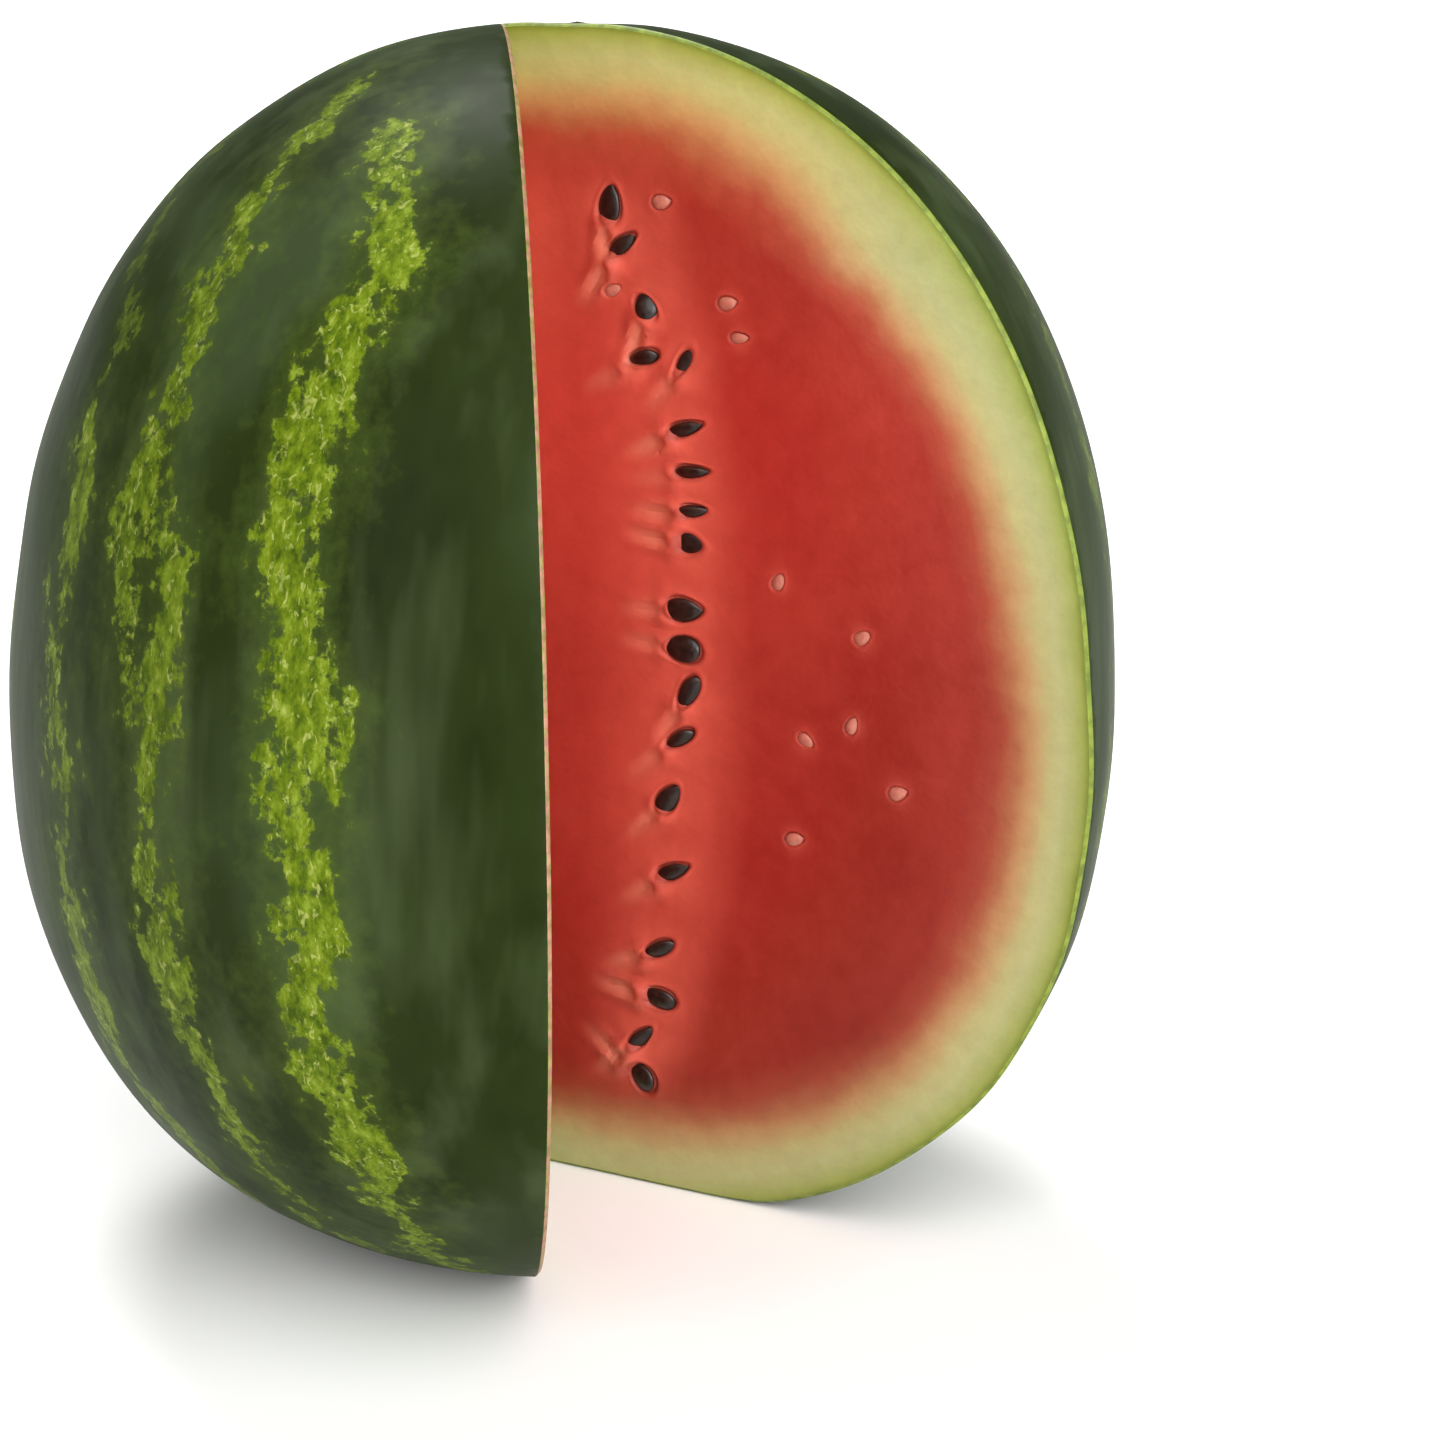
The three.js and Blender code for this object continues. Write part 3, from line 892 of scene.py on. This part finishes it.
# painted shade: the red flesh is darkened towards the lower end
shade_towards_lower_end = add(flesh, "ShaderNodeMapRange", {0: height, 1: 58 * MM, 2: -4 * MM})
not_rind = add(flesh, "ShaderNodeMapRange", {0: depth_mm, 1: 12, 2: 30, 3: 0.4, 4: 1})
shade_towards_lower_end = add(flesh, "ShaderNodeMath", {0: shade_towards_lower_end, 1: not_rind}, operation="MULTIPLY")
for share, tint in ((upper_end, (1.1, 0.99, 0.82, 1)), (shade_towards_lower_end, (0.76, 0.68, 0.64, 1))):
    flesh_colour = add(flesh, "ShaderNodeMix", {0: share, MIX_A: flesh_colour, MIX_B: tint},
                       data_type="RGBA", blend_type="MULTIPLY")

# %% [markdown]
# The red isn't even. Clouds of paler cells drift through it, and the zone of the seeds is paler and
# pinker. So is the core in the upper half, but that is painted light, which lifts the shade in the
# corner of the wedge. Each of these is a share from 0 to 1, held back to the red part, and a colour
# to mix in by that share. A seed's thread is pale, flesh that lies thinly over a seed is brown, and
# the groove round a seed is darkened by juice and by painted shade.

# %% Flesh: clouds, the zone of the seeds, the core's painted light, threads, buried seeds and groove shade
way_out = add(flesh, "ShaderNodeAttribute", attribute_name="way_out").outputs["Fac"]
by_seed = add(flesh, "ShaderNodeAttribute", attribute_name="by_seed").outputs["Fac"]
seed_under_and_groove_shade = add(flesh, "ShaderNodeAttribute", attribute_name="seed_under_and_groove_shade").outputs["Fac"]
seed_thread = add(flesh, "ShaderNodeAttribute", attribute_name="seed_thread").outputs["Fac"]
is_red = add(flesh, "ShaderNodeMapRange", {0: depth_mm, 1: 24, 2: 40})

clouds = add(flesh, "ShaderNodeTexNoise",
             {"Vector": own_place, "Scale": per_mm(38), "Detail": 4, "Roughness": 0.55})
clouds = add(flesh, "ShaderNodeMapRange", {0: clouds, 1: 0.4, 2: 0.72, 3: 0, 4: 0.2})
clouds = add(flesh, "ShaderNodeMath", {0: clouds, 1: is_red}, operation="MULTIPLY")

band_in = add(flesh, "ShaderNodeMapRange", {0: way_out, 1: 0.12, 2: 0.25}, interpolation_type="SMOOTHSTEP")
band_out = add(flesh, "ShaderNodeMapRange", {0: way_out, 1: 0.44, 2: 0.34, 3: 0, 4: 0.36},
               interpolation_type="SMOOTHSTEP")
band = add(flesh, "ShaderNodeMath", {0: band_in, 1: band_out}, operation="MULTIPLY")
seed_zone = add(flesh, "ShaderNodeMath", {0: by_seed, 1: 0.42, 2: band}, operation="MULTIPLY_ADD")
seed_zone = add(flesh, "ShaderNodeMath", {0: seed_zone, 1: is_red}, operation="MULTIPLY", use_clamp=True)

# painted light: the flesh by the inner edge is made paler, most in the upper half, where the wedge's corner
# is in shade
core = add(flesh, "ShaderNodeMapRange", {0: way_out, 1: 0.26, 2: 0.04, 3: 0, 4: 0.5},
           interpolation_type="SMOOTHSTEP")
upper_half = add(flesh, "ShaderNodeMapRange", {0: height, 1: 35 * MM, 2: 100 * MM, 3: 0.12, 4: 1})
for factor in (is_red, upper_half):
    core = add(flesh, "ShaderNodeMath", {0: core, 1: factor}, operation="MULTIPLY")

thread = add(flesh, "ShaderNodeMath", {0: seed_thread, 1: 0.5}, operation="MULTIPLY")
# buried seeds show brown through the flesh, and the groove round each seed gets its juice and painted shade
buried_seed_and_groove_shade = add(flesh, "ShaderNodeMath", {0: seed_under_and_groove_shade, 1: 0.55}, operation="MULTIPLY")
mixed_in = [
    (clouds, "bf4a38"), (seed_zone, "d25f4c"), (core, "e06a52"), (thread, "e39a7a"), (buried_seed_and_groove_shade, "7a2c20"),
]
for share, code in mixed_in:
    flesh_colour = add(flesh, "ShaderNodeMix", {0: share, MIX_A: flesh_colour, MIX_B: linear(code)},
                       data_type="RGBA")
print(len(mixed_in), "colours are mixed into the red")

# %% [markdown]
# Ripe flesh is built of juice cells, big enough to see, in a coarser grain. The knife opens some of
# them, so the surface is finely pitted and moist. Light goes a little way in and comes out redder.

# %% Flesh: cells, grain and moisture
cells = add(flesh, "ShaderNodeTexVoronoi", {"Vector": own_place, "Scale": per_mm(1.6), "Randomness": 1})
grain = add(flesh, "ShaderNodeTexNoise",
            {"Vector": own_place, "Scale": per_mm(5), "Detail": 5, "Roughness": 0.6})
tint = add(flesh, "ShaderNodeMapRange", {0: grain, 1: 0.3, 2: 0.7, 3: 0.94, 4: 1.06})
flesh_colour = add(flesh, "ShaderNodeVectorMath", {0: flesh_colour, "Scale": tint}, operation="SCALE")
bump = add(flesh, "ShaderNodeBump", {"Height": cells, "Strength": 0.2, "Distance": 0.18 * MM})
bump = add(flesh, "ShaderNodeBump",
           {"Height": grain, "Strength": 0.3, "Distance": 0.35 * MM, "Normal": bump})
moist = add(flesh, "ShaderNodeMapRange", {0: grain, 1: 0.3, 2: 0.7, 3: 0.38, 4: 0.56})
# juice is sugar water, with an IOR of about 1.36
shader = add(flesh, "ShaderNodeBsdfPrincipled",
             {"Base Color": flesh_colour, "Roughness": moist, "Normal": bump, "IOR": 1.36,
              "Subsurface Weight": 0.2, "Subsurface Radius": (1.0, 0.4, 0.25),
              "Subsurface Scale": 2.5 * MM})
add(flesh, "ShaderNodeOutputMaterial", {"Surface": shader})
print(flesh.name, "has", len(flesh.node_tree.nodes), "nodes")

# %% [markdown]
# ## Seed coats
#
# A ripe seed has a hard polished coat like thin wood, nearly black and browner along its rim. An
# unripe seed's coat is soft and pale, and pink with the juice round it. Both are still wet, and a
# thin clear coat over the shader gives that wet gleam. Both kinds are built by one loop, because they
# differ only in colour and polish.

# %% Ripe and unripe seed coats
SEED_LOOKS = {
    "ripe": {"coat": "140d09", "mottle": "291911", "rim": "3b2216", "rough": (0.3, 0.46), "wet": 0.16},
    "unripe": {"coat": "b06a58", "mottle": "a4564a", "rim": "9c463a", "rough": (0.35, 0.5), "wet": 0.2},
}
seed_materials = {}
for kind, look in SEED_LOOKS.items():
    coat = new_material(kind + "_seed_coat")
    place = add(coat, "ShaderNodeTexCoord").outputs["Object"]
    rim_share = add(coat, "ShaderNodeAttribute", attribute_name="near_rim").outputs["Fac"]
    rim_share = add(coat, "ShaderNodeMath", {0: rim_share, 1: 0.5}, operation="MULTIPLY")
    mottle = add(coat, "ShaderNodeTexNoise", {"Vector": place, "Scale": per_mm(1.3), "Detail": 3})
    coat_colour = add(coat, "ShaderNodeValToRGB", {"Fac": mottle},
                      stops=[(0.45, look["coat"]), (0.7, look["mottle"])])
    coat_colour = add(coat, "ShaderNodeMix", {0: rim_share, MIX_A: coat_colour, MIX_B: linear(look["rim"])},
                      data_type="RGBA")
    low, high = look["rough"]
    polish = add(coat, "ShaderNodeMapRange", {0: mottle, 1: 0.3, 2: 0.7, 3: low, 4: high})
    bump = add(coat, "ShaderNodeBump", {"Height": mottle, "Strength": 0.3, "Distance": 0.08 * MM})
    shader = add(coat, "ShaderNodeBsdfPrincipled",
                 {"Base Color": coat_colour, "Roughness": polish, "Normal": bump, "IOR": 1.5,
                  "Specular IOR Level": 0.35, "Coat Weight": look["wet"], "Coat Roughness": 0.08})
    add(coat, "ShaderNodeOutputMaterial", {"Surface": shader})
    seed_materials[kind] = coat

# %% Give every surface its material, in the order of SKIN, RIM and FLESH
for material in (skin, rim, flesh):
    melon.data.materials.append(material)
for seed in seeds:
    seed["piece"].data.materials.append(seed_materials[seed["kind"]])
print([material.name for material in melon.data.materials], list(seed_materials))

# %% [markdown]
# ## Stage, light and camera
#
# The floor is plain and nearly white. The main light comes from high at the front right, as broad as
# an overcast sky, so its shadows are soft. The cut faces look into an open wedge, where each darkens
# the other, so a fill light stands in front of that opening. A tall narrow softbox at the front left
# draws a soft upright sheen on the waxy skin, and one behind lights the back. A pale world fills the
# rest. A single lamp would be simpler, but it leaves the wedge dark.

# %% Floor and world
FLOOR_SIZE = 40.0
corner = FLOOR_SIZE / 2
floor_mesh = bpy.data.meshes.new("floor")
floor_corners = [(-corner, -corner, 0), (corner, -corner, 0), (corner, corner, 0), (-corner, corner, 0)]
floor_mesh.from_pydata(floor_corners, [], [(0, 1, 2, 3)])
floor = new_object("floor", floor_mesh)
paper = new_material("pale_studio_paper")
shader = add(paper, "ShaderNodeBsdfPrincipled", {"Base Color": linear("f2f2f0"), "Roughness": 0.9})
add(paper, "ShaderNodeOutputMaterial", {"Surface": shader})
floor_mesh.materials.append(paper)

world = bpy.data.worlds.new("pale_studio")
world.use_nodes = True
background = world.node_tree.nodes["Background"]
background.inputs["Color"].default_value = linear("f7f8fa")
background.inputs["Strength"].default_value = 0.25
bpy.context.scene.world = world
bpy.context.scene.view_settings.view_transform = "Standard"

# %% Soft lights, each turned towards the melon
LIGHTS = {
    "main": {"kind": "SUN", "heading": 25, "height": 44, "power": 3.0, "spread": 64},
    "opening_fill": {"kind": "AREA", "heading": 36, "height": 14, "power": 26, "size": (1.2, 1.2)},
    "tall_softbox": {"kind": "AREA", "heading": -36, "height": 22, "power": 17, "size": (0.26, 1.9)},
    "back_softbox": {"kind": "AREA", "heading": -160, "height": 56, "power": 44, "size": (0.9, 0.75)},
}
LIGHT_DISTANCE = 2.2
for name, light in LIGHTS.items():
    data = bpy.data.lights.new(name, light["kind"])
    data.energy = light["power"]
    if light["kind"] == "SUN":
        data.angle = math.radians(light["spread"])
    else:
        data.shape = "RECTANGLE"
        data.size, data.size_y = light["size"]
    # headings are round the melon from its front, and heights are above the floor
    turn, rise = math.radians(light["heading"]), math.radians(light["height"])
    level = math.cos(rise)
    towards = Vector((math.sin(turn) * level, -math.cos(turn) * level, math.sin(rise)))
    lamp = new_object(name, data)
    lamp.location = Vector(MIDDLE) + towards * LIGHT_DISTANCE
    lamp.rotation_euler = towards.to_track_quat("Z", "Y").to_euler()
    lamp.visible_camera = False
    print(name, "is a", light["kind"], "light of power", light["power"])

# %% The camera looks a little down at the front of the melon, from about 1.4 m away
CAMERA_FROM_MIDDLE = Vector((36.8, -1351.8, 434.5)) * MM
CAMERA_TILT = math.radians(71.5)
camera_data = bpy.data.cameras.new("camera")
camera_data.lens = 150
camera_data.sensor_width = 36
camera_data.dof.use_dof = False
camera = new_object("camera", camera_data)
camera.location = Vector(MIDDLE) + CAMERA_FROM_MIDDLE
camera.rotation_euler = (CAMERA_TILT, 0, 0)
bpy.context.scene.camera = camera
print("the camera is", round(CAMERA_FROM_MIDDLE.length, 2), "m from the middle of the melon")
